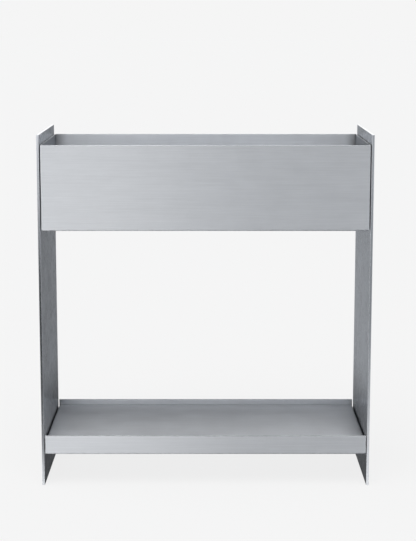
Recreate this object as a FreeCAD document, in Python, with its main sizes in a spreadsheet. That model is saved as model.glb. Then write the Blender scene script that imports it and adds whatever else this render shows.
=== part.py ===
import FreeCAD, Part
import os
import re

import Sketcher

# Raised planter of bare sheet aluminium. Two thick side plates stand on their bottom edges. An open-topped
# trough and a low shelf hang between them, each held to the plates by countersunk screws, spacer washers that
# leave a narrow gap at both ends, flat washers and cap nuts.
# Frame: origin at the middle of the footprint on the floor, +X to the right, +Y to the back, +Z up, in mm.

DRIVING_DIMENSIONS = [
    ("overall_width", 650, "outside of one side plate to outside of the other"),
    ("overall_depth", 250, "front edge to back edge"),
    ("overall_height", 700, "floor to the top of the side plates"),
    ("plate_thickness", 5, "side plates"),
    ("plate_edge_radius", 0.5, "deburred edges of the side plates"),
    ("sheet_thickness", 2, "trough and shelf"),
    ("sheet_edge_radius", 0.4, "deburred rim of the trough and crests of the shelf's lips"),
    ("bend_radius", 1, "inside radius of every bend"),
    ("weld_radius", 1, "outside radius of the trough's ground corner welds"),
    ("end_gap", 2, "between a side plate and the end of the trough or shelf"),
    ("rim_drop", 20, "from the top of the side plates down to the trough's rim"),
    ("trough_height", 167, "rim to underside"),
    ("shelf_top", 90, "floor to the shelf's upper surface"),
    ("lip_rise", 12, "shelf surface to the top of its lips"),
    ("skirt_height", 38, "top of a lip to the bottom edge of its skirt"),
    ("skirt_return", 10, "safe edge turned in along the bottom of each skirt"),
    ("end_flange", 22, "shelf surface to the bottom of its end flanges"),
    ("screw_spread", 170, "front to back between screws"),
    ("trough_screw_low", 40, "trough underside to its lower row of screws"),
    ("trough_screw_pitch", 80, "lower row to upper row"),
    ("shelf_screw_drop", 12.5, "shelf surface to its screws"),
    ("drain_radius", 4, "drain holes in the trough floor"),
    ("drain_pitch_x", 210, "between neighbouring drain holes, left to right"),
    ("drain_pitch_y", 140, "between the two rows of drain holes"),
    ("clearance_radius", 2.75, "screw holes in plates and sheet, M5 medium fit"),
    ("screw_radius", 2.5, "M5 shank"),
    ("screw_length", 16, "head top to shank end"),
    ("screw_chamfer", 0.5, "at the shank's end"),
    ("screw_head_radius", 5.2, "countersunk head with its rim turned off"),
    ("screw_recess", 0.35, "plate surface to head top"),
    ("socket_width", 3, "hexagon socket across flats"),
    ("socket_depth", 1.9, "hexagon socket"),
    ("washer_hole_radius", 2.65, "flat washers and spacers"),
    ("washer_radius", 5, "M5 flat washer"),
    ("washer_thickness", 1, "M5 flat washer"),
    ("spacer_radius", 6, "spacer washer"),
    ("nut_width", 8, "cap nut across flats"),
    ("nut_hex_height", 4, "cap nut's hexagon"),
    ("nut_height", 10, "cap nut overall"),
    ("nut_dome_radius", 3.75, "cap nut's dome"),
    ("nut_bore_radius", 2.55, "stands for the thread, clear of the plain shank"),
    ("nut_bore_depth", 7.5, "cap nut's blind bore"),
]

# Sizes that follow from the driving ones, as spreadsheet formulas in the order they depend on each other.
DERIVED_DIMENSIONS = [
    ("sheet_length", "overall_width - 2 * plate_thickness - 2 * end_gap"),
    ("bend_outer", "bend_radius + sheet_thickness"),
    ("inner_length", "sheet_length - 2 * sheet_thickness"),
    ("inner_depth", "overall_depth - 2 * sheet_thickness"),
    ("shelf_under", "shelf_top - sheet_thickness"),
    ("trough_rim", "overall_height - rim_drop"),
    ("trough_base", "trough_rim - trough_height"),
    ("lip_top", "shelf_top + lip_rise"),
    ("skirt_bottom", "lip_top - skirt_height"),
    ("trough_screw_z", "trough_base + trough_screw_low"),
    ("trough_screw_z_upper", "trough_screw_z + trough_screw_pitch"),
    ("shelf_screw_z", "shelf_top - shelf_screw_drop"),
    ("washer_seat", "plate_thickness + end_gap + sheet_thickness"),
    ("nut_seat", "washer_seat + washer_thickness"),
]

TROUGH_ROWS = ["trough_screw_z", "trough_screw_z_upper"]
SHELF_ROWS = ["shelf_screw_z"]
LEFT, RIGHT = -1, 1
FRONT, BACK = -1, 1
COUNTERSINK_ANGLE = 90
HALF_TURN, FULL_TURN = 180, 360
HEXAGON_SIDES = 6
TOUCHING = 1e-6
LEAST_CUT = 1
SIZE_NAME = re.compile(r"\b(" + "|".join(row[0] for row in DRIVING_DIMENSIONS + DERIVED_DIMENSIONS) + r")\b")

doc = FreeCAD.newDocument("raised_planter")
sheet = doc.addObject("Spreadsheet::Sheet", "Sizes")


def fill_sheet():
    """One row per size: its name, its value or formula under that name as alias, and what it measures."""
    rows = [(name, str(value), note) for name, value, note in DRIVING_DIMENSIONS]
    rows += [(name, "=" + formula, "derived") for name, formula in DERIVED_DIMENSIONS]
    for row, (name, content, note) in enumerate(rows, start=1):
        sheet.set(f"A{row}", name)
        sheet.set(f"B{row}", content)
        sheet.set(f"C{row}", note)
        sheet.setAlias(f"B{row}", name)
    doc.recompute()


def size(formula):
    """The value of a formula in the sheet's names, such as "trough_height - sheet_thickness"."""
    return float(sheet.evalExpression(formula))


def bind(target, path, formula):
    """Drives one property of an object from a formula in the sheet's names."""
    target.setExpression(path, SIZE_NAME.sub(r"Sizes.\1", formula))


def new_body(label):
    body = doc.addObject("PartDesign::Body", label)
    body.Label = label
    return body


def origin_item(body, role):
    return next(item for item in body.Origin.OriginFeatures if item.Role == role)


def new_sketch(body, name, plane, height=None):
    """A sketch on one of the body's origin planes, or a stated height above it along the plane's normal."""
    sketch = body.newObject("Sketcher::SketchObject", name)
    sketch.AttachmentSupport = [(origin_item(body, plane), "")]
    sketch.MapMode = "FlatFace"
    if height is not None:
        bind(sketch, "AttachmentOffset.Base.z", height)
    return sketch


def pin_point(sketch, geometry, point, formulas):
    """Holds one point of a sketch at a place given by two formulas."""
    sketch_origin = (-1, 1)
    for kind, formula in zip(("DistanceX", "DistanceY"), formulas):
        constraint = Sketcher.Constraint(kind, *sketch_origin, geometry, point, size(formula))
        index = sketch.addConstraint(constraint)
        bind(sketch, f"Constraints[{index}]", formula)


def outline(sketch, corners):
    """A closed outline of straight lines through corners, each corner a pair of formulas."""
    start, end = 1, 2
    places = [FreeCAD.Vector(size(x), size(y), 0) for x, y in corners]
    first = sketch.GeometryCount
    for index, place in enumerate(places):
        sketch.addGeometry(Part.LineSegment(place, places[(index + 1) % len(places)]))
    for index in range(len(corners)):
        following = first + (index + 1) % len(corners)
        sketch.addConstraint(Sketcher.Constraint("Coincident", first + index, end, following, start))
    for index, corner in enumerate(corners):
        pin_point(sketch, first + index, start, corner)


def rectangle(sketch, x_low, x_high, y_low, y_high):
    outline(sketch, [(x_low, y_low), (x_high, y_low), (x_high, y_high), (x_low, y_high)])


def circle(sketch, x, y, radius):
    centre = 3
    place = FreeCAD.Vector(size(x), size(y), 0)
    index = sketch.addGeometry(Part.Circle(place, FreeCAD.Vector(0, 0, 1), size(radius)))
    constraint = sketch.addConstraint(Sketcher.Constraint("Radius", index, size(radius)))
    bind(sketch, f"Constraints[{constraint}]", radius)
    pin_point(sketch, index, centre, (x, y))


def hexagon(sketch, across_flats):
    """A hexagon about the sketch's origin, one corner on its X axis."""
    step = FULL_TURN // HEXAGON_SIDES
    corner = f"{across_flats} / 2 / cos({step // 2} deg)"
    turns = range(0, FULL_TURN, step)
    outline(sketch, [(f"{corner} * cos({turn} deg)", f"{corner} * sin({turn} deg)") for turn in turns])


def pad(body, name, sketch, length, centred=False):
    feature = body.newObject("PartDesign::Pad", name)
    feature.Profile = sketch
    feature.Midplane = centred
    bind(feature, "Length", length)
    doc.recompute()


def must_cut(body, volume_before, name):
    """A cut that points away from the solid removes nothing and reports no error."""
    if body.Shape.Volume > volume_before - LEAST_CUT:
        raise RuntimeError(f"{body.Label}: {name} removed nothing")


def pocket(body, name, sketch, depth=None, reverse=False):
    """Cuts a sketch to a depth or, with none given, right through on both sides."""
    volume_before = body.Shape.Volume
    feature = body.newObject("PartDesign::Pocket", name)
    feature.Profile = sketch
    feature.Reversed = reverse
    if depth is None:
        feature.Type = "ThroughAll"
        feature.Midplane = True
    else:
        bind(feature, "Length", depth)
    doc.recompute()
    must_cut(body, volume_before, name)


def revolve(body, name, sketch):
    """A full turn of a sketch about the body's Z axis."""
    feature = body.newObject("PartDesign::Revolution", name)
    feature.Profile = sketch
    feature.ReferenceAxis = (origin_item(body, "Z_Axis"), [""])
    feature.Angle = FULL_TURN
    doc.recompute()


def round_edges(body, name, radius, chosen):
    """Rounds every edge of the body's last feature for which chosen(edge) is true."""
    base = body.Tip
    edges = [f"Edge{index}" for index, edge in enumerate(base.Shape.Edges, start=1) if chosen(edge)]
    feature = body.newObject("PartDesign::Fillet", name)
    feature.Base = (base, edges)
    bind(feature, "Radius", radius)
    doc.recompute()


def lies_at(edge, axis, value):
    """True if the whole edge has that value of one coordinate in the body's own frame."""
    box = edge.BoundBox
    low, high = getattr(box, axis + "Min"), getattr(box, axis + "Max")
    return abs(low - value) < TOUCHING and abs(high - value) < TOUCHING


def lies_either_side(edge, axis, value):
    return lies_at(edge, axis, value) or lies_at(edge, axis, -value)


def runs_along(edge, axis):
    """True if the edge is a straight one along X, Y or Z."""
    if not isinstance(edge.Curve, Part.Line):
        return False
    return abs(getattr(edge.Curve.Direction, axis.lower())) > 1 - TOUCHING


def screw_places(rows):
    """(y, z) formulas of the screws in one end joint: front and back in each row."""
    return [(f"{row_end} * screw_spread / 2", row) for row in rows for row_end in (FRONT, BACK)]


def side_panel(label, side, turn):
    """A side plate with its outside face at X = 0 of the body, which is then turned and moved to its side."""
    body = new_body(label)
    face = new_sketch(body, label + "_face", "YZ_Plane")
    rectangle(face, "-overall_depth / 2", "overall_depth / 2", "0", "overall_height")
    pad(body, label + "_plate", face, "plate_thickness")
    round_edges(body, label + "_deburr", "plate_edge_radius", lambda edge: True)

    centres = new_sketch(body, label + "_screw_centres", "YZ_Plane")
    for y, z in screw_places(SHELF_ROWS + TROUGH_ROWS):
        circle(centres, y, z, "clearance_radius")
    doc.recompute()
    volume_before = body.Shape.Volume
    holes = body.newObject("PartDesign::Hole", label + "_screw_holes")
    holes.Profile = centres
    holes.Reversed = True
    holes.ThreadType = "None"
    holes.DepthType = "ThroughAll"
    holes.HoleCutType = "Countersink"
    holes.HoleCutCustomValues = True
    holes.HoleCutCountersinkAngle = COUNTERSINK_ANGLE
    bind(holes, "Diameter", "2 * clearance_radius")
    bind(holes, "HoleCutDiameter", "2 * (screw_head_radius + screw_recess)")
    doc.recompute()
    must_cut(body, volume_before, holes.Name)

    body.Placement.Rotation = FreeCAD.Rotation(FreeCAD.Vector(0, 0, 1), turn)
    bind(body, "Placement.Base.x", f"{side} * overall_width / 2")
    return body


def planter_trough():
    """A box folded up from one blank and welded at its corners, built from its underside at Z = 0."""
    body = new_body("planter_trough")
    footprint = new_sketch(body, "trough_footprint", "XY_Plane")
    rectangle(footprint, "-sheet_length / 2", "sheet_length / 2", "-overall_depth / 2", "overall_depth / 2")
    pad(body, "trough_block", footprint, "trough_height")
    round_edges(body, "trough_corner_welds", "weld_radius", lambda edge: runs_along(edge, "Z"))
    round_edges(body, "trough_bends_outside", "bend_outer", lambda edge: lies_at(edge, "Z", 0))

    inside = new_sketch(body, "trough_inside", "XY_Plane", "sheet_thickness")
    rectangle(inside, "-inner_length / 2", "inner_length / 2", "-inner_depth / 2", "inner_depth / 2")
    pocket(body, "trough_hollow", inside, "trough_height - sheet_thickness", reverse=True)
    floor = size("sheet_thickness")
    round_edges(body, "trough_bends_inside", "bend_radius", lambda edge: lies_at(edge, "Z", floor))
    rim = size("trough_height")
    round_edges(body, "trough_rim_deburr", "sheet_edge_radius", lambda edge: lies_at(edge, "Z", rim))

    ends = new_sketch(body, "trough_screw_centres", "YZ_Plane")
    for y, z in screw_places(TROUGH_ROWS):
        circle(ends, y, f"{z} - trough_base", "clearance_radius")
    pocket(body, "trough_screw_holes", ends)

    drains = new_sketch(body, "trough_drain_centres", "XY_Plane")
    for column in (-1, 0, 1):
        for row in (-1, 1):
            circle(drains, f"{column} * drain_pitch_x", f"{row} * drain_pitch_y / 2", "drain_radius")
    pocket(body, "trough_drain_holes", drains)

    bind(body, "Placement.Base.z", "trough_base")
    return body


def plant_shelf():
    """A floor with a flange turned down at each end, and a strip welded along its front and its back. A strip
    stands up as a lip and carries on down as a skirt with its bottom edge turned in."""
    body = new_body("plant_shelf")
    flange_bottom = "shelf_top - end_flange"
    return_top = "skirt_bottom + sheet_thickness"

    channel = new_sketch(body, "shelf_channel", "XZ_Plane")
    outline(channel, [
        ("-sheet_length / 2", flange_bottom),
        ("-sheet_length / 2", "shelf_top"),
        ("sheet_length / 2", "shelf_top"),
        ("sheet_length / 2", flange_bottom),
        ("inner_length / 2", flange_bottom),
        ("inner_length / 2", "shelf_under"),
        ("-inner_length / 2", "shelf_under"),
        ("-inner_length / 2", flange_bottom),
    ])
    pad(body, "shelf_floor", channel, "inner_depth", centred=True)
    end, inner_end = size("sheet_length / 2"), size("inner_length / 2")
    top, under = size("shelf_top"), size("shelf_under")
    round_edges(body, "shelf_bends_outside", "bend_outer",
                lambda edge: runs_along(edge, "Y") and lies_at(edge, "Z", top)
                and lies_either_side(edge, "X", end))
    round_edges(body, "shelf_bends_inside", "bend_radius",
                lambda edge: runs_along(edge, "Y") and lies_at(edge, "Z", under)
                and lies_either_side(edge, "X", inner_end))

    for name, side in (("front", FRONT), ("back", BACK)):
        section = new_sketch(body, f"shelf_{name}_strip_section", "YZ_Plane")
        outline(section, [
            (f"{side} * inner_depth / 2", "lip_top"),
            (f"{side} * overall_depth / 2", "lip_top"),
            (f"{side} * overall_depth / 2", "skirt_bottom"),
            (f"{side} * (overall_depth / 2 - skirt_return)", "skirt_bottom"),
            (f"{side} * (overall_depth / 2 - skirt_return)", return_top),
            (f"{side} * inner_depth / 2", return_top),
        ])
        pad(body, f"shelf_{name}_strip", section, "sheet_length", centred=True)

    crest, bottom, skirt_outside = size("lip_top"), size("skirt_bottom"), size("overall_depth / 2")
    inner_bottom, skirt_inside = size(return_top), size("inner_depth / 2")
    round_edges(body, "shelf_lip_deburr", "sheet_edge_radius",
                lambda edge: runs_along(edge, "X") and lies_at(edge, "Z", crest))
    round_edges(body, "shelf_skirt_bends_inside", "bend_radius",
                lambda edge: runs_along(edge, "X") and lies_at(edge, "Z", inner_bottom)
                and lies_either_side(edge, "Y", skirt_inside))
    round_edges(body, "shelf_skirt_bends_outside", "bend_outer",
                lambda edge: runs_along(edge, "X") and lies_at(edge, "Z", bottom)
                and lies_either_side(edge, "Y", skirt_outside))

    centres = new_sketch(body, "shelf_screw_centres", "YZ_Plane")
    for y, z in screw_places(SHELF_ROWS):
        circle(centres, y, z, "clearance_radius")
    pocket(body, "shelf_screw_holes", centres)
    return body


def countersunk_screw():
    """Head top at Z = 0, shank along +Z. The head has the countersink's own cone, so it seats fully."""
    body = new_body("countersunk_screw")
    section = new_sketch(body, "screw_section", "XZ_Plane")
    outline(section, [
        ("0", "0"),
        ("screw_head_radius", "0"),
        ("screw_radius", "screw_head_radius - screw_radius"),
        ("screw_radius", "screw_length - screw_chamfer"),
        ("screw_radius - screw_chamfer", "screw_length"),
        ("0", "screw_length"),
    ])
    revolve(body, "screw_turned", section)
    socket = new_sketch(body, "screw_socket_outline", "XY_Plane")
    hexagon(socket, "socket_width")
    pocket(body, "screw_socket", socket, "socket_depth", reverse=True)
    return body


def ring(name, hole_radius, outer_radius, thickness):
    """A washer from Z = 0 up."""
    body = new_body(name)
    face = new_sketch(body, name + "_face", "XY_Plane")
    circle(face, "0", "0", outer_radius)
    circle(face, "0", "0", hole_radius)
    pad(body, name + "_disc", face, thickness)
    return body


def cap_nut():
    """Seat at Z = 0, dome towards +Z, with a blind bore where the thread would be."""
    body = new_body("cap_nut")
    flats = new_sketch(body, "nut_flats", "XY_Plane")
    hexagon(flats, "nut_width")
    pad(body, "nut_hexagon", flats, "nut_hex_height")
    barrel = new_sketch(body, "nut_barrel_outline", "XY_Plane")
    circle(barrel, "0", "0", "nut_dome_radius")
    pad(body, "nut_barrel", barrel, "nut_height - nut_dome_radius")
    dome = body.newObject("PartDesign::AdditiveSphere", "nut_dome")
    bind(dome, "Radius", "nut_dome_radius")
    bind(dome, "Placement.Base.z", "nut_height - nut_dome_radius")
    doc.recompute()
    bore = new_sketch(body, "nut_bore_outline", "XY_Plane")
    circle(bore, "0", "0", "nut_bore_radius")
    pocket(body, "nut_bore", bore, "nut_bore_depth", reverse=True)
    return body


def fastener_group(label, master, side, rows, seat):
    """A fastener at every screw of one end joint, at a depth called seat in from the plate's outside."""
    towards_middle = FreeCAD.Rotation(FreeCAD.Vector(0, 0, 1), FreeCAD.Vector(-side, 0, 0))
    copies = []
    for index, (y, z) in enumerate(screw_places(rows), start=1):
        copy = doc.addObject("App::Link", f"{label}_{index}")
        copy.LinkedObject = master
        copy.Placement = FreeCAD.Placement(FreeCAD.Vector(), towards_middle)
        bind(copy, "Placement.Base.x", f"{side} * (overall_width / 2 - {seat})")
        bind(copy, "Placement.Base.y", y)
        bind(copy, "Placement.Base.z", z)
        copies.append(copy)
    group = doc.addObject("Part::Compound", label)
    group.Label = label
    group.Links = copies
    return group


def fasteners():
    """The four kinds of fastener, grouped by the joint that they hold."""
    kinds = [
        ("screws", countersunk_screw(), "screw_recess"),
        ("spacers", ring("spacer", "washer_hole_radius", "spacer_radius", "end_gap"), "plate_thickness"),
        ("washers", ring("washer", "washer_hole_radius", "washer_radius", "washer_thickness"), "washer_seat"),
        ("cap_nuts", cap_nut(), "nut_seat"),
    ]
    groups = []
    for joint, rows in (("trough", TROUGH_ROWS), ("shelf", SHELF_ROWS)):
        for name, side in (("left", LEFT), ("right", RIGHT)):
            for kind, master, seat in kinds:
                groups.append(fastener_group(f"{joint}_{kind}_{name}", master, side, rows, seat))
    return groups


def check_document():
    failed = [item.Name for item in doc.Objects if {"Invalid", "Error"} & set(item.State)]
    if failed:
        raise RuntimeError("failed objects: " + ", ".join(failed))


def check_shape(part):
    shape = part.Shape
    if shape.isNull() or not shape.isValid() or not shape.Solids:
        raise RuntimeError(part.Label + " has no valid solid")


def main():
    fill_sheet()
    parts = [
        side_panel("left_side_panel", LEFT, turn=0),
        side_panel("right_side_panel", RIGHT, turn=HALF_TURN),
        planter_trough(),
        plant_shelf(),
    ]
    parts += fasteners()
    doc.recompute()
    check_document()
    for part in parts:
        check_shape(part)
    os.makedirs("parts", exist_ok=True)
    for part in parts:
        part.Shape.exportStep(f"parts/{part.Label}.step")
        box = part.Shape.BoundBox
        print(f"{part.Label:22s} solids {len(part.Shape.Solids)} volume {part.Shape.Volume:9.1f} mm3",
              f"x {box.XMin:.2f} {box.XMax:.2f} y {box.YMin:.2f} {box.YMax:.2f}",
              f"z {box.ZMin:.2f} {box.ZMax:.2f}")


main()
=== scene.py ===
import math
import random

import bmesh
import bpy
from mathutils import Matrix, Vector


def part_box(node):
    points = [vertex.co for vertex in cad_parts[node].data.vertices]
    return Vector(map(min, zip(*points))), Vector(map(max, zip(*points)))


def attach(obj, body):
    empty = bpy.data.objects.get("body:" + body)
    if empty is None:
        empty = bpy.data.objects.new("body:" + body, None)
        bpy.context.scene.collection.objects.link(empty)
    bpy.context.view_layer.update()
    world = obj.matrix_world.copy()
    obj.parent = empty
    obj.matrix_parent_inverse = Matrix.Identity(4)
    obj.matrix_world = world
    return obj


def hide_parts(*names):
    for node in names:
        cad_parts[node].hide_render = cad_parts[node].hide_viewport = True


# Looks of the raised planter: brushed aluminium plates and sheet, stainless fasteners, nylon spacers.
# Metres, in the row frame: origin at the middle of the footprint on the floor, front towards -Y, +Z up.

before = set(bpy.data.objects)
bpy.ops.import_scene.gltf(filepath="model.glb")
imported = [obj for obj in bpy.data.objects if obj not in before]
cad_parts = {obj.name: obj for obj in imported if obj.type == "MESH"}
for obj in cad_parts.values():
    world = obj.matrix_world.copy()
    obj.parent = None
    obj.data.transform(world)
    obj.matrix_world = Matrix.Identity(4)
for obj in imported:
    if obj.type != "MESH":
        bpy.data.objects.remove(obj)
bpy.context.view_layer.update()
ROOT = "root"
SIDES = ("left", "right")
JOINTS = ("trough", "shelf")
MM = 0.001
SEED = 11
ALONG_X, ALONG_Y, ALONG_Z = Vector((1, 0, 0)), Vector((0, 1, 0)), Vector((0, 0, 1))
WHITE = (1, 1, 1, 1)


# ---------------------------------------------------------------- shader helpers

class Shader:
    """Short forms for building the node tree of one material, or of the world."""

    def __init__(self, name="", tree=None):
        self.tree = tree
        if tree is None:
            self.material = bpy.data.materials.new(name)
            self.material.use_nodes = True
            self.tree = self.material.node_tree
            self.tree.nodes.clear()

    def node(self, kind, inputs=None, output=0, **settings):
        """Adds a node, sets or links its inputs by name or number, and returns one of its outputs."""
        made = self.tree.nodes.new(kind)
        for name, value in settings.items():
            setattr(made, name, value)
        for socket, value in (inputs or {}).items():
            if isinstance(value, bpy.types.NodeSocket):
                self.tree.links.new(value, made.inputs[socket])
            else:
                made.inputs[socket].default_value = value
        return made.outputs[output] if made.outputs else None

    def maths(self, operation, first, second=0.0):
        return self.node("ShaderNodeMath", {0: first, 1: second}, operation=operation)

    def vector(self, operation, first, second=(0, 0, 0), output=0):
        return self.node("ShaderNodeVectorMath", {0: first, 1: second}, output=output, operation=operation)

    def product(self, *factors):
        result = factors[0]
        for factor in factors[1:]:
            result = self.maths("MULTIPLY", result, factor)
        return result

    def ramp(self, value, low, high, to_low=0.0, to_high=1.0, kind="SMOOTHSTEP"):
        inputs = {"Value": value, "From Min": low, "From Max": high, "To Min": to_low, "To Max": to_high}
        return self.node("ShaderNodeMapRange", inputs, interpolation_type=kind)

    def follow(self, noise, low, high):
        """A value between low and high that follows a noise; most of a noise lies between 0.3 and 0.7."""
        return self.ramp(noise, 0.3, 0.7, low, high, kind="LINEAR")

    def spread(self, noise, amount):
        """A factor between 1 - amount and 1 + amount that follows a noise."""
        return self.ramp(noise, 0.28, 0.72, 1 - amount, 1 + amount, kind="LINEAR")

    def mix(self, factor, first, second):
        return self.node("ShaderNodeMix", {0: factor, 2: first, 3: second}, data_type="FLOAT")

    def mix_vector(self, factor, first, second):
        return self.node("ShaderNodeMix", {0: factor, 4: first, 5: second}, output=1, data_type="VECTOR")

    def mix_colour(self, factor, first, second, blend="MIX"):
        inputs = {0: factor, 6: first, 7: second}
        return self.node("ShaderNodeMix", inputs, output=2, data_type="RGBA", blend_type=blend)

    def shade(self, colour, tone):
        """A colour made lighter or darker by a tone near one."""
        level = self.node("ShaderNodeCombineColor", {0: tone, 1: tone, 2: tone})
        return self.mix_colour(1.0, colour, level, "MULTIPLY")

    def noise(self, vector, scale=1.0, detail=2.0, roughness=0.5):
        inputs = {"Vector": vector, "Scale": scale, "Detail": detail, "Roughness": roughness}
        return self.node("ShaderNodeTexNoise", inputs)

    def stretched(self, vector, scales, shift=(0, 0, 0), turn=(0, 0, 0)):
        inputs = {"Vector": vector, "Scale": scales, "Location": shift, "Rotation": turn}
        return self.node("ShaderNodeMapping", inputs)

    def split(self, vector):
        return self.node("ShaderNodeSeparateXYZ", {0: vector}).node.outputs

    def bump(self, height, strength, distance, normal=None):
        inputs = {"Height": height, "Strength": strength, "Distance": distance}
        if normal:
            inputs["Normal"] = normal
        return self.node("ShaderNodeBump", inputs)

    def finish(self, **sockets):
        """Closes the tree with a principled surface, its sockets named with _ for each space."""
        inputs = {name.replace("_", " "): value for name, value in sockets.items()}
        surface = self.node("ShaderNodeBsdfPrincipled", inputs)
        self.node("ShaderNodeOutputMaterial", {"Surface": surface})
        return self.material


# ---------------------------------------------------------------- aluminium

ALUMINIUM_COOL, ALUMINIUM_WARM = (0.73, 0.75, 0.785, 1), (0.75, 0.765, 0.79, 1)
# Scales of the streaks along and across the grain, and how each set is moved off the others.
GRAIN_ALONG, GRAIN_ACROSS = 12.0, 620.0
PATCH_ALONG, PATCH_ACROSS = 14.0, 48.0
SCRATCH_ALONG, SCRATCH_ACROSS = 9.0, 420.0
MEDIUM_SHIFT, PATCH_SHIFT, SCRATCH_SHIFT = (3, 1, 7), (9, 4, 2), (5, 8, 3)
SCRATCH_TURN = (0.07, 0.11, 0.05)
# Scales of the soft variations, larger for smaller features.
DRIFT_SCALE, CLOUD_SCALE, WEAR_SCALE, STAIN_SCALE = 3.5, 24.0, 90.0, 160.0
SHARP_EDGE_ROUGHNESS = 0.17
# A face looks a certain way where this much of its normal does; masks fade in between two such values.
MOSTLY = 0.7
SIDEWAYS_FROM, SIDEWAYS_TO = 0.6, 0.8
LEVEL_FROM, LEVEL_TO = 0.4, MOSTLY
# Tones multiply the metal's brightness; apart from the drain stain's tone they are painted shade and painted
# light. A reach is how far a zone of painted shade fades out.
# Painted shade on the trough's ends and in its inside corners beside the welds, painted light on its inside
# walls, and the tone of the drain stains.
WELD_AND_CORNER_SHADE_TONE, TROUGH_END_SHADE_TONE, TROUGH_INSIDE_LIGHT_TONE, DRAIN_TONE = 0.55, 0.62, 1.13, 0.45
# Painted shade on the shelf's floor beside its lips and in the crease at their foot.
LIP_SHADOW_TONE, LIP_CREASE_SHADE_TONE = 0.78, 0.7
# Painted shade on the plates' inner faces, deepest under the shelf.
LEG_LOW_SHADE_TONE, LEG_HIGH_SHADE_TONE = 0.42, 0.96
WEAR_WIDTH = 1.2 * MM
SHEET = 2 * MM
RIM_DEPTH = 2.5 * MM
WELD_AND_CORNER_SHADE_REACH = 28 * MM
LIP_SHADOW_REACH = 26 * MM
LIP_CREASE = (2.5 * MM, 5 * MM)
LEG_SHADOW_REACH = 120 * MM
DRAIN_RADIUS, DRAIN_STAIN, DRAIN_WANDER = 4 * MM, 11 * MM, 3 * MM
DRAIN_PITCH_X, DRAIN_PITCH_Y = 210 * MM, 140 * MM


class Surface:
    """Where a point of a piece lies, how it faces, and how far in from the sides of the piece's box it is."""

    def __init__(self, shader, node, grain):
        self.low, self.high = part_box(node)
        self.position = shader.node("ShaderNodeTexCoord", output="Object")
        self.normal = self.position.node.outputs["Normal"]
        self.across, self.depth, self.height = shader.split(self.position)
        self.sideways, _, self.up = shader.split(self.normal)
        # One on the faces that look along the main grain, zero on all others.
        facing = shader.vector("DOT_PRODUCT", self.normal, grain, output="Value")
        self.turned = shader.maths("GREATER_THAN", shader.maths("ABSOLUTE", facing), MOSTLY)
        centre, half = (self.low + self.high) / 2, (self.high - self.low) / 2
        away = shader.vector("ABSOLUTE", shader.vector("SUBTRACT", self.position, centre))
        x, self.from_front, z = shader.split(shader.vector("SUBTRACT", half, away))
        self.nearer = shader.maths("MINIMUM", x, self.from_front)
        self.farther = shader.maths("MAXIMUM", x, self.from_front)
        # The second smallest of the three distances is the one to the nearest edge of the box.
        self.to_edge = shader.maths("MAXIMUM", self.nearer, shader.maths("MINIMUM", self.farther, z))


def plate_edges(shader, surface):
    """Mask of a plate's milled edges: everything but its two broad faces."""
    return shader.ramp(shader.maths("ABSOLUTE", surface.sideways), SIDEWAYS_FROM, SIDEWAYS_TO, 1.0, 0.0)


def top_rim(shader, surface):
    """Mask of the level cut edge along the top of a sheet piece."""
    near_top = shader.maths("GREATER_THAN", surface.height, surface.high.z - RIM_DEPTH)
    return shader.product(near_top, shader.ramp(surface.up, LEVEL_FROM, LEVEL_TO))


def drain_stain(shader, surface):
    """Mask of the water marks round the trough's drain holes."""
    off_middle = shader.maths("ABSOLUTE", surface.across)
    off_end_column = shader.maths("ABSOLUTE", shader.maths("SUBTRACT", off_middle, DRAIN_PITCH_X))
    x = shader.maths("MINIMUM", off_middle, off_end_column)
    y = shader.maths("SUBTRACT", shader.maths("ABSOLUTE", surface.depth), DRAIN_PITCH_Y / 2)
    offset = shader.node("ShaderNodeCombineXYZ", {"X": x, "Y": y})
    wander = shader.follow(shader.noise(surface.position, STAIN_SCALE, 3.0), -DRAIN_WANDER, DRAIN_WANDER)
    radius = shader.maths("ADD", shader.vector("LENGTH", offset, output="Value"), wander)
    low_down = shader.maths("LESS_THAN", surface.height, surface.low.z + 2 * SHEET)
    return shader.product(low_down, shader.ramp(radius, DRAIN_RADIUS, DRAIN_STAIN, 1.0, 0.0))


def trough_painted_light_and_stain(shader, surface):
    """Painted shade on the trough's ends and in its inside corners beside the welds, painted light on its
    inside walls, and stains round its drains.
    """
    inside = shader.ramp(surface.nearer, SHEET / 4, 3 * SHEET / 4)
    upright = shader.ramp(shader.maths("ABSOLUTE", surface.up), LEVEL_FROM, LEVEL_TO, 1.0, 0.0)
    # Painted shade in the trough's inside corners, where the welds are.
    weld_and_corner_shade = shader.product(shader.ramp(surface.farther, SHEET, WELD_AND_CORNER_SHADE_REACH, 1.0, 0.0), inside)
    return shader.product(
        shader.mix(weld_and_corner_shade, 1.0, WELD_AND_CORNER_SHADE_TONE),
        shader.mix(surface.turned, 1.0, TROUGH_END_SHADE_TONE),
        shader.mix(shader.product(inside, upright), 1.0, TROUGH_INSIDE_LIGHT_TONE),
        shader.mix(drain_stain(shader, surface), 1.0, DRAIN_TONE),
    )


def shelf_painted_shade(shader, surface):
    """Painted shade on the shelf's floor along the foot of each lip, darkest in the crease."""
    on_floor = shader.product(
        shader.maths("GREATER_THAN", surface.up, MOSTLY),
        shader.maths("LESS_THAN", surface.height, surface.high.z - 2 * RIM_DEPTH),
    )
    lip_shade = shader.ramp(surface.from_front, SHEET, SHEET + LIP_SHADOW_REACH, LIP_SHADOW_TONE, 1.0)
    crease_shade = shader.ramp(surface.from_front, *LIP_CREASE, LIP_CREASE_SHADE_TONE, 1.0)
    return shader.mix(on_floor, 1.0, shader.product(lip_shade, crease_shade))


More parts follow.
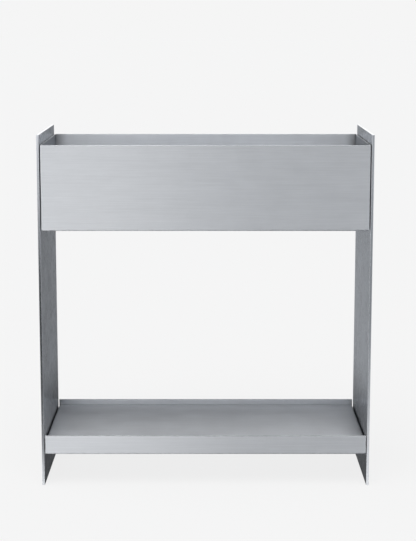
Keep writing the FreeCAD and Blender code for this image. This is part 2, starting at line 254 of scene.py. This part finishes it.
def plate_painted_shade(shader, surface):
    """Painted shade low down on a plate's inner face, beside and under the shelf."""
    _, shelf_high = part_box("plant_shelf")
    inwards = -1 if surface.low.x > 0 else 1
    facing = shader.ramp(shader.maths("MULTIPLY", surface.sideways, inwards), SIDEWAYS_FROM, SIDEWAYS_TO)
    clear_of_shelf = shelf_high.z + LEG_SHADOW_REACH
    leg_shade = shader.ramp(surface.height, shelf_high.z, clear_of_shelf, LEG_LOW_SHADE_TONE, LEG_HIGH_SHADE_TONE)
    return shader.mix(facing, 1.0, leg_shade)


def brushed_aluminium(name, node, grain, end_grain, roughness, anisotropy, edges, edge_painted_light_and_wear, local_painted_light_and_stain):
    """Bare satin aluminium; the faces that look along its grain have a grain of their own, end_grain."""
    shader = Shader(name)
    surface = Surface(shader, node, grain)
    position = surface.position

    def stretch(direction, along, across):
        return [along * abs(part) + across * (1 - abs(part)) for part in direction]

    def streaks(along, across, shift=(0, 0, 0), detail=3.0, turn=(0, 0, 0)):
        main = shader.stretched(position, stretch(grain, along, across), shift, turn)
        ends = shader.stretched(position, stretch(end_grain, along, across), shift, turn)
        return shader.noise(shader.mix_vector(surface.turned, main, ends), 1.0, detail, 0.6)

    fine = streaks(GRAIN_ALONG, GRAIN_ACROSS)
    medium = streaks(GRAIN_ALONG / 2, GRAIN_ACROSS / 4, MEDIUM_SHIFT)
    patches = streaks(PATCH_ALONG, PATCH_ACROSS, PATCH_SHIFT, 4.0)
    scratches = streaks(SCRATCH_ALONG, SCRATCH_ACROSS, SCRATCH_SHIFT, 1.0, SCRATCH_TURN)
    scratches = shader.ramp(scratches, 0.70, 0.78)
    cloud = shader.noise(position, CLOUD_SCALE, 5.0, 0.6)
    drift = shader.noise(position, DRIFT_SCALE, 2.0)
    wear_width = shader.follow(shader.noise(position, WEAR_SCALE, 3.0), WEAR_WIDTH / 2, WEAR_WIDTH)
    edge_wear_and_sheen = shader.maths("LESS_THAN", surface.to_edge, wear_width)
    cut = edges(shader, surface)

    # The metal's own tone varies with its grain, patches and scratches; the local tone adds painted shade and
    # painted light, and the trough's drain stains.
    tone = shader.product(
        shader.spread(fine, 0.035),
        shader.spread(medium, 0.012),
        shader.spread(patches, 0.018),
        shader.spread(cloud, 0.018),
        shader.mix(scratches, 1.0, 1.05),
        # On the worn and cut edges the edge tone paints a highlight on the trough and the plates and shade on
        # the shelf's lip tops, along with the edges' wear.
        shader.mix(edge_wear_and_sheen, 1.0, edge_painted_light_and_wear),
        shader.mix(cut, 1.0, edge_painted_light_and_wear),
        local_painted_light_and_stain(shader, surface),
    )
    base = shader.mix_colour(drift, ALUMINIUM_COOL, ALUMINIUM_WARM)

    rough = shader.ramp(fine, 0.2, 0.8, roughness - 0.04, roughness + 0.04, kind="LINEAR")
    rough = shader.maths("ADD", rough, shader.follow(cloud, -0.02, 0.02))
    rough = shader.mix(shader.maths("MAXIMUM", edge_wear_and_sheen, cut), rough, SHARP_EDGE_ROUGHNESS)

    relief = shader.maths("ADD", fine, shader.maths("MULTIPLY", medium, 0.6))
    relief = shader.maths("SUBTRACT", relief, shader.maths("MULTIPLY", scratches, 0.5))
    relief = shader.maths("MULTIPLY", relief, shader.mix(cut, 1.0, 0.2))
    brushed = shader.bump(relief, strength=0.25, distance=0.08 * MM)
    uneven = shader.bump(drift, strength=0.2, distance=1.2 * MM, normal=brushed)

    # The reflection spreads across the grain, so the tangent lies across it.
    here = shader.mix_vector(surface.turned, grain, end_grain)
    tangent = shader.vector("CROSS_PRODUCT", surface.normal, here)
    return shader.finish(
        Base_Color=shader.shade(base, tone),
        Metallic=1.0,
        Roughness=rough,
        Normal=uneven,
        Anisotropic=anisotropy,
        Tangent=tangent,
    )


def dress(node, material):
    """Gives a carried-over CAD node its finished material."""
    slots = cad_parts[node].data.materials
    for index in range(len(slots)):
        slots[index] = material


def make_aluminium():
    """Dresses the four large pieces; the grain runs along the trough and the shelf, and up the plates."""
    sheet = {"grain": ALONG_X, "end_grain": ALONG_Z, "roughness": 0.40, "anisotropy": 0.93, "edges": top_rim}
    # The edge tones paint a highlight on the trough's rim and the plates' milled edges and shade on the
    # shelf's lip tops; the local tones paint shade and light, and the trough's drain stains.
    trough = {"edge_painted_light_and_wear": 1.03, "local_painted_light_and_stain": trough_painted_light_and_stain}
    shelf = {"edge_painted_light_and_wear": 0.9, "local_painted_light_and_stain": shelf_painted_shade}
    dress("planter_trough", brushed_aluminium("trough_sheet", "planter_trough", **sheet, **trough))
    dress("plant_shelf", brushed_aluminium("shelf_sheet", "plant_shelf", **sheet, **shelf))
    plate = {"grain": ALONG_Z, "end_grain": ALONG_Y, "roughness": 0.28, "anisotropy": 0.7}
    milled = {"edges": plate_edges, "edge_painted_light_and_wear": 1.08, "local_painted_light_and_stain": plate_painted_shade}
    for side in SIDES:
        node = f"{side}_side_panel"
        dress(node, brushed_aluminium(f"{node}_plate", node, **plate, **milled))


make_aluminium()


# ---------------------------------------------------------------- fastener materials

PROFILE_MAP = "profile"
STEEL_DARK, STEEL_LIGHT = (0.53, 0.53, 0.525, 1), (0.62, 0.615, 0.60, 1)
NYLON_DARK, NYLON_LIGHT = (0.035, 0.035, 0.038, 1), (0.065, 0.065, 0.07, 1)
TURNING_SCALES = (2.0, 14.0, 1.0)
SMUDGE_SCALE, NICK_SCALE = 260.0, 2400.0
MOULD_GRAIN_SCALE, BLOOM_SCALE = 1500.0, 140.0


def turned_steel():
    """Stainless steel with fine marks round its axis, laid out by the profile map that add_rings makes."""
    shader = Shader("stainless_turned")
    profile = shader.node("ShaderNodeUVMap", uv_map=PROFILE_MAP)
    position = shader.node("ShaderNodeTexCoord", output="Object")
    rings = shader.noise(shader.stretched(profile, TURNING_SCALES), 1.0, 3.0)
    smudge = shader.noise(position, SMUDGE_SCALE, 3.0)
    nicks = shader.ramp(shader.noise(position, NICK_SCALE, 2.0), 0.66, 0.74)
    base = shader.mix_colour(smudge, STEEL_DARK, STEEL_LIGHT)
    tone = shader.product(shader.spread(rings, 0.06), shader.mix(nicks, 1.0, 0.85))
    relief = shader.maths("SUBTRACT", rings, nicks)
    return shader.finish(
        Base_Color=shader.shade(base, tone),
        Metallic=1.0,
        Roughness=shader.follow(smudge, 0.22, 0.36),
        Normal=shader.bump(relief, strength=0.3, distance=0.04 * MM),
    )


def matte_nylon():
    """Black moulded nylon with a fine grain and a paler bloom."""
    shader = Shader("nylon_moulded")
    position = shader.node("ShaderNodeTexCoord", output="Object")
    grain = shader.noise(position, MOULD_GRAIN_SCALE, 3.0)
    bloom = shader.noise(position, BLOOM_SCALE, 3.0)
    base = shader.mix_colour(bloom, NYLON_DARK, NYLON_LIGHT)
    return shader.finish(
        Base_Color=shader.shade(base, shader.spread(grain, 0.1)),
        Roughness=shader.follow(bloom, 0.5, 0.65),
        Normal=shader.bump(grain, strength=0.25, distance=0.05 * MM),
    )


# ---------------------------------------------------------------- fasteners

# A fastener is a stack of rings along its own axis, each given as (height, radius, form) in millimetres.
# A hexagonal ring's radius is to its corners. A crowned ring is hexagonal with its corners pulled down.
SEGMENTS = 96
ROUND, HEXAGON, CROWN_UP, CROWN_DOWN = "round", "hexagon", "crown_up", "crown_down"
HEXAGON_SECTOR = math.radians(60)
FLAT_TO_CORNER = math.cos(HEXAGON_SECTOR / 2)
CROWN_SLOPE = math.tan(math.radians(30))
CROWN_START, CROWN_FACE = 0.985, 0.845
SMOOTH_BELOW = math.radians(20)
THREAD_PITCH, THREAD_DEPTH = 0.8, 0.3
THREAD_LOW, THREAD_HIGH = 0.15 * THREAD_PITCH, 0.65 * THREAD_PITCH
SHANK_RADIUS, SHANK_END = 2.5, 0.5
SOCKET_WIDTH, SOCKET_DEPTH = 3.0, 1.9
BORE_RADIUS, BORE_DEPTH = 2.55, 7.5
NUT_HEXAGON_HEIGHT, DOME_RADIUS, DOME_STEPS = 4.0, 3.75, 14
WASHER_HOLE = 2.65


def hexagon_radius(corner, angle):
    """Distance from the centre to a hexagon's side; the first corner is at angle zero."""
    return corner * FLAT_TO_CORNER / math.cos(angle % HEXAGON_SECTOR - HEXAGON_SECTOR / 2)


def ring_point(height, radius, form, angle, turn):
    """Height and radius of a ring at one angle; turn rotates the hexagon but not a round ring."""
    if form == ROUND:
        return height, radius
    reach = hexagon_radius(radius, angle - turn)
    flat = radius * FLAT_TO_CORNER * CROWN_START
    if form == CROWN_UP:
        height -= (reach - flat) * CROWN_SLOPE
    if form == CROWN_DOWN:
        height += (reach - flat) * CROWN_SLOPE
    return height, reach


def thread(start, end, radius, depth):
    """Rings that rise and fall like a thread between two heights."""
    turns = int((end - start) / THREAD_PITCH)
    rings = []
    for index in range(turns):
        height = start + index * THREAD_PITCH
        rings.append((height + THREAD_LOW, radius, ROUND))
        rings.append((height + THREAD_HIGH, radius + depth, ROUND))
    return rings


def screw_rings(head, length):
    """Countersunk screw: a hexagon socket with a drilled bottom, a cone, and a thread on the shank."""
    socket = SOCKET_WIDTH / 2 / FLAT_TO_CORNER
    cone_end = head - SHANK_RADIUS
    return [
        (SOCKET_DEPTH + 0.35, 0, ROUND),
        (SOCKET_DEPTH, socket * 0.96, HEXAGON),
        (0.3, socket, HEXAGON),
        (0.0, socket + 0.28, ROUND),
        (0.0, head - 0.55, ROUND),
        (0.05, head - 0.18, ROUND),
        (0.22, head - 0.02, ROUND),
        (0.45, head - 0.45, ROUND),
        (cone_end, SHANK_RADIUS + 0.1, ROUND),
        (cone_end + 0.5, SHANK_RADIUS, ROUND),
        *thread(cone_end + 1.0, length - 0.8, SHANK_RADIUS, -THREAD_DEPTH),
        (length - SHANK_END, SHANK_RADIUS, ROUND),
        (length, SHANK_RADIUS - SHANK_END, ROUND),
        (length, 0, ROUND),
    ]


def nut_rings(corner, height):
    """Cap nut: a threaded blind bore, a hexagon with both faces crowned, and a dome."""
    dome_base = height - DOME_RADIUS
    turns = [math.radians(90) * step / DOME_STEPS for step in range(DOME_STEPS)]
    return [
        (BORE_DEPTH, 0, ROUND),
        (BORE_DEPTH, BORE_RADIUS, ROUND),
        *reversed(thread(THREAD_PITCH, BORE_DEPTH - THREAD_PITCH, BORE_RADIUS, THREAD_DEPTH)),
        (0.5, BORE_RADIUS, ROUND),
        (0.0, BORE_RADIUS + 0.5, ROUND),
        (0.0, corner * CROWN_FACE, ROUND),
        (0.0, corner, CROWN_DOWN),
        (NUT_HEXAGON_HEIGHT, corner, CROWN_UP),
        (NUT_HEXAGON_HEIGHT, corner * CROWN_FACE, ROUND),
        (NUT_HEXAGON_HEIGHT + 0.12, DOME_RADIUS + 0.02, ROUND),
        *[(dome_base + DOME_RADIUS * math.sin(turn), DOME_RADIUS * math.cos(turn), ROUND) for turn in turns],
        (height, 0, ROUND),
    ]


def washer_rings(radius, thickness):
    """Stamped washer: rolled over on one face, a crisp edge on the other."""
    hole = WASHER_HOLE
    return [
        (0.0, hole + 0.08, ROUND),
        (0.0, radius - 0.3, ROUND),
        (0.06, radius - 0.12, ROUND),
        (0.2, radius - 0.02, ROUND),
        (0.35, radius, ROUND),
        (thickness - 0.05, radius, ROUND),
        (thickness, radius - 0.05, ROUND),
        (thickness, hole + 0.25, ROUND),
        (thickness - 0.12, hole + 0.06, ROUND),
        (thickness - 0.3, hole, ROUND),
        (0.08, hole, ROUND),
    ]


def spacer_rings(radius, thickness):
    """Moulded spacer: rounded edges, a parting line round the rim and a shallow groove in each face."""
    hole, body, edge, groove = WASHER_HOLE, radius - 0.06, 0.22, 0.15
    outer_half = [
        (0.0, hole + edge, ROUND),
        (0.0, body * 0.62, ROUND),
        (groove, body * 0.65, ROUND),
        (groove, body * 0.76, ROUND),
        (0.0, body * 0.79, ROUND),
        (0.0, body - edge, ROUND),
        (edge * 0.3, body - edge * 0.3, ROUND),
        (edge, body, ROUND),
        (thickness / 2 - 0.05, body, ROUND),
    ]
    parting_line = [(thickness / 2, radius, ROUND)]
    mirrored = [(thickness - height, ring, form) for height, ring, form in reversed(outer_half)]
    bore = [(thickness - edge, hole, ROUND), (edge, hole, ROUND)]
    return outer_half + parting_line + mirrored + bore


def add_rings(build, rings, centre, inwards, turn, closed):
    """Adds one fastener to a mesh: its axis runs along X from centre, towards the middle of the planter.

    Its map holds the turns round the axis and the millimetres along the outline.
    """
    mapping = build.loops.layers.uv.verify()
    loops, lengths = [], [0.0]
    for before, after in zip(rings, rings[1:]):
        lengths.append(lengths[-1] + math.dist(before[:2], after[:2]))
    for height, radius, form in rings:
        loop = []
        for index in range(SEGMENTS if radius else 1):
            angle = math.tau * index / SEGMENTS
            rise, reach = ring_point(height, radius, form, angle, turn)
            offset = Vector((inwards * rise, reach * math.sin(angle), reach * math.cos(angle)))
            loop.append(build.verts.new(centre + offset * MM))
        loops.append(loop)

    pairs = list(zip(range(len(loops)), range(1, len(loops))))
    if closed:
        pairs.append((len(loops) - 1, 0))
    for first, second in pairs:
        for index in range(SEGMENTS):
            corners = []
            for ring, step in ((first, index), (first, index + 1), (second, index + 1), (second, index)):
                vertex = loops[ring][step % len(loops[ring])]
                if all(vertex != corner[0] for corner in corners):
                    corners.append((vertex, step / SEGMENTS, lengths[ring]))
            face = build.faces.new([corner[0] for corner in corners])
            for face_corner, (_, around, along) in zip(face.loops, corners):
                face_corner[mapping].uv = (around, along)


def fastener_piece(node, rings, places, material, closed, loose):
    """Replaces a CAD group of identical fasteners with detailed ones at the same places."""
    low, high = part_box(node)
    inwards = 1 if node.endswith("left") else -1
    seat = low.x if inwards > 0 else high.x
    name = node + "_detailed"
    build = bmesh.new()
    for y, z in places:
        turn = rng.uniform(0, HEXAGON_SECTOR) if loose else 0.0
        add_rings(build, rings, Vector((seat, y, z)), inwards, turn, closed)
    bmesh.ops.recalc_face_normals(build, faces=build.faces)
    mesh = bpy.data.meshes.new(name)
    build.to_mesh(mesh)
    build.free()
    mesh.uv_layers[0].name = PROFILE_MAP
    mesh.polygons.foreach_set("use_smooth", [True] * len(mesh.polygons))
    mesh.set_sharp_from_angle(angle=SMOOTH_BELOW)
    mesh.materials.append(material)
    piece = bpy.data.objects.new(name, mesh)
    bpy.context.scene.collection.objects.link(piece)
    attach(piece, ROOT)
    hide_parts(node)


def make_fasteners():
    """One detailed piece for each CAD group of screws, spacers, washers or cap nuts."""
    steel, nylon = turned_steel(), matte_nylon()
    # Kind, outline, material, slot, whether the outline is a closed one, whether each is turned at random.
    kinds = (
        ("screws", screw_rings, steel, "stainless_steel", False, True),
        ("spacers", spacer_rings, nylon, "nylon", True, False),
        ("washers", washer_rings, steel, "stainless_steel", True, False),
        ("cap_nuts", nut_rings, steel, "stainless_steel", False, False),
    )
    for side in SIDES:
        # The shelf has a single row, so its groups are as tall as one fastener.
        head_low, head_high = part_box(f"shelf_screws_{side}")
        head = (head_high.z - head_low.z) / 2
        for joint in JOINTS:
            low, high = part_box(f"{joint}_screws_{side}")
            rows = sorted({round(low.z + head, 6), round(high.z - head, 6)})
            places = [(y, z) for z in rows for y in (low.y + head, high.y - head)]
            for kind, shape, material, slot, closed, loose in kinds:
                one_low, one_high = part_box(f"shelf_{kind}_{side}")
                size = one_high - one_low
                rings = shape(size.z / 2 / MM, size.x / MM)
                node = f"{joint}_{kind}_{side}"
                fastener_piece(node, rings, places, material, closed, loose)


rng = random.Random(SEED)
make_fasteners()


# ---------------------------------------------------------------- stage, lights and camera

PALE = 0.913
FLOOR_COLOUR = (0.08, 0.08, 0.08, 1)
FLOOR_SUN = 1.2
FLOOR_SUN_WIDTH = math.radians(70)
FLOOR_SUN_TURN = (math.radians(18), math.radians(-22), 0)
FLOOR_GLOW = 0.823
FLOOR_RADIUS = 60.0
LENS, LENS_SHIFT = 85.8, -0.13
CAMERA_PLACE = (0.005, -2.5915, 0.9187)
CAMERA_DOWN = 7.965

# Soft panels of the studio, painted one over the other:
# azimuth, middle elevation, half width, half height (degrees), edge softness, brightness.
STUDIO_BASE = 0.32
STUDIO_PANELS = (
    (0, 90, 360, 60, 0.7, 0.8),
    (0, 78, 80, 36, 0.5, 3.3),
    (0, -90, 360, 42, 0.4, 0.1),
    (-75, -20, 78, 42, 0.35, 0.82),
    (-16, -25, 18, 38, 0.35, 1.64),
    (40, -25, 45, 38, 0.5, 0.39),
    (105, -12, 50, 38, 0.5, 0.75),
    (-135, -12, 45, 38, 0.5, 0.75),
    (180, 35, 60, 50, 0.5, 0.22),
    (-158, 30, 40, 40, 0.6, 0.05),
    (180, -20, 42, 22, 0.5, 0.10),
    (-170, -12, 22, 14, 0.5, 0.28),
    (180, -48, 32, 32, 0.12, 0.02),
    (180, 7, 45, 5.5, 0.3, 1.2),
    (10, -24, 8, 11, 0.75, 1.45),
    (-10, -8, 9, 7, 0.7, 0.36),
    (-14, -14.6, 24, 6.8, 0.4, 0.02),
)
COOL_SHADE, NEUTRAL_LIGHT = (0.945, 0.985, 1.035, 1), (1.0, 1.0, 0.995, 1)
SHADE_LEVEL, LIGHT_LEVEL = 0.3, 1.2


def make_floor():
    """A wide plain floor that glows softly, to match the backdrop and take only a faint shadow."""
    mesh = bpy.data.meshes.new("floor")
    build = bmesh.new()
    bmesh.ops.create_circle(build, cap_ends=True, radius=FLOOR_RADIUS, segments=SEGMENTS)
    build.to_mesh(mesh)
    build.free()
    floor = bpy.data.objects.new("floor", mesh)
    bpy.context.scene.collection.objects.link(floor)
    shader = Shader("floor")
    lit = shader.node("ShaderNodeBsdfDiffuse", {"Color": FLOOR_COLOUR})
    glow = shader.node("ShaderNodeEmission", {"Color": WHITE, "Strength": FLOOR_GLOW})
    surface = shader.node("ShaderNodeAddShader", {0: lit, 1: glow})
    shader.node("ShaderNodeOutputMaterial", {"Surface": surface})
    mesh.materials.append(shader.material)
    floor.visible_glossy = False
    return floor


def make_world():
    """Even pale backdrop for the camera; for everything else a soft studio painted by direction."""
    world = bpy.data.worlds.new("studio")
    bpy.context.scene.world = world
    world.use_nodes = True
    world.node_tree.nodes.clear()
    shader = Shader(tree=world.node_tree)
    direction = shader.node("ShaderNodeTexCoord", output="Generated")
    _, _, height = shader.split(direction)
    elevation = shader.maths("DEGREES", shader.maths("ARCSINE", height))

    def patch(azimuth, middle, half_width, half_height, softness):
        """Mask of a soft-edged panel; azimuth in degrees from the front, positive towards +X."""
        turn = math.radians(azimuth)
        ahead = (math.sin(turn), -math.cos(turn), 0)
        aside = (math.cos(turn), math.sin(turn), 0)
        forward = shader.vector("DOT_PRODUCT", direction, ahead, output="Value")
        sideways = shader.vector("DOT_PRODUCT", direction, aside, output="Value")
        swing = shader.maths("DEGREES", shader.maths("ARCTAN2", sideways, forward))
        across = shader.maths("ABSOLUTE", swing)
        rise = shader.maths("ABSOLUTE", shader.maths("SUBTRACT", elevation, middle))
        wide = shader.ramp(across, half_width * (1 - softness), half_width, 1.0, 0.0)
        tall = shader.ramp(rise, half_height * (1 - softness), half_height, 1.0, 0.0)
        return shader.maths("MULTIPLY", wide, tall)

    light = STUDIO_BASE
    for azimuth, middle, half_width, half_height, softness, level in STUDIO_PANELS:
        light = shader.mix(patch(azimuth, middle, half_width, half_height, softness), light, level)
    seen = shader.node("ShaderNodeLightPath", output="Is Camera Ray")
    tint = shader.mix_colour(shader.ramp(light, SHADE_LEVEL, LIGHT_LEVEL), COOL_SHADE, NEUTRAL_LIGHT)
    colour = shader.mix_colour(seen, tint, WHITE)
    strength = shader.mix(seen, light, PALE)
    background = shader.node("ShaderNodeBackground", {"Color": colour, "Strength": strength})
    shader.node("ShaderNodeOutputWorld", {"Surface": background})


def sun_on_floor(floor):
    """An even, soft sun that only the floor receives, so the floor is the same pale tone everywhere."""
    light = bpy.data.lights.new("floor_sun", "SUN")
    light.energy = FLOOR_SUN
    light.angle = FLOOR_SUN_WIDTH
    sun = bpy.data.objects.new("floor_sun", light)
    sun.rotation_euler = FLOOR_SUN_TURN
    bpy.context.scene.collection.objects.link(sun)
    lit = bpy.data.collections.new("lit_by_floor_sun")
    lit.objects.link(floor)
    sun.light_linking.receiver_collection = lit


def make_camera():
    """A long lens in front of the planter and above it, shifted a little so that the uprights lean less."""
    data = bpy.data.cameras.new("camera")
    data.sensor_width = 36.0
    data.lens = LENS
    data.shift_y = LENS_SHIFT
    data.clip_start, data.clip_end = 0.05, 200.0
    camera = bpy.data.objects.new("camera", data)
    camera.location = CAMERA_PLACE
    camera.rotation_euler = (math.radians(90 - CAMERA_DOWN), 0, 0)
    bpy.context.scene.collection.objects.link(camera)
    bpy.context.scene.camera = camera


floor = make_floor()
make_world()
sun_on_floor(floor)
make_camera()

scene = bpy.context.scene
scene.view_settings.view_transform = "Standard"
scene.view_settings.look = "None"
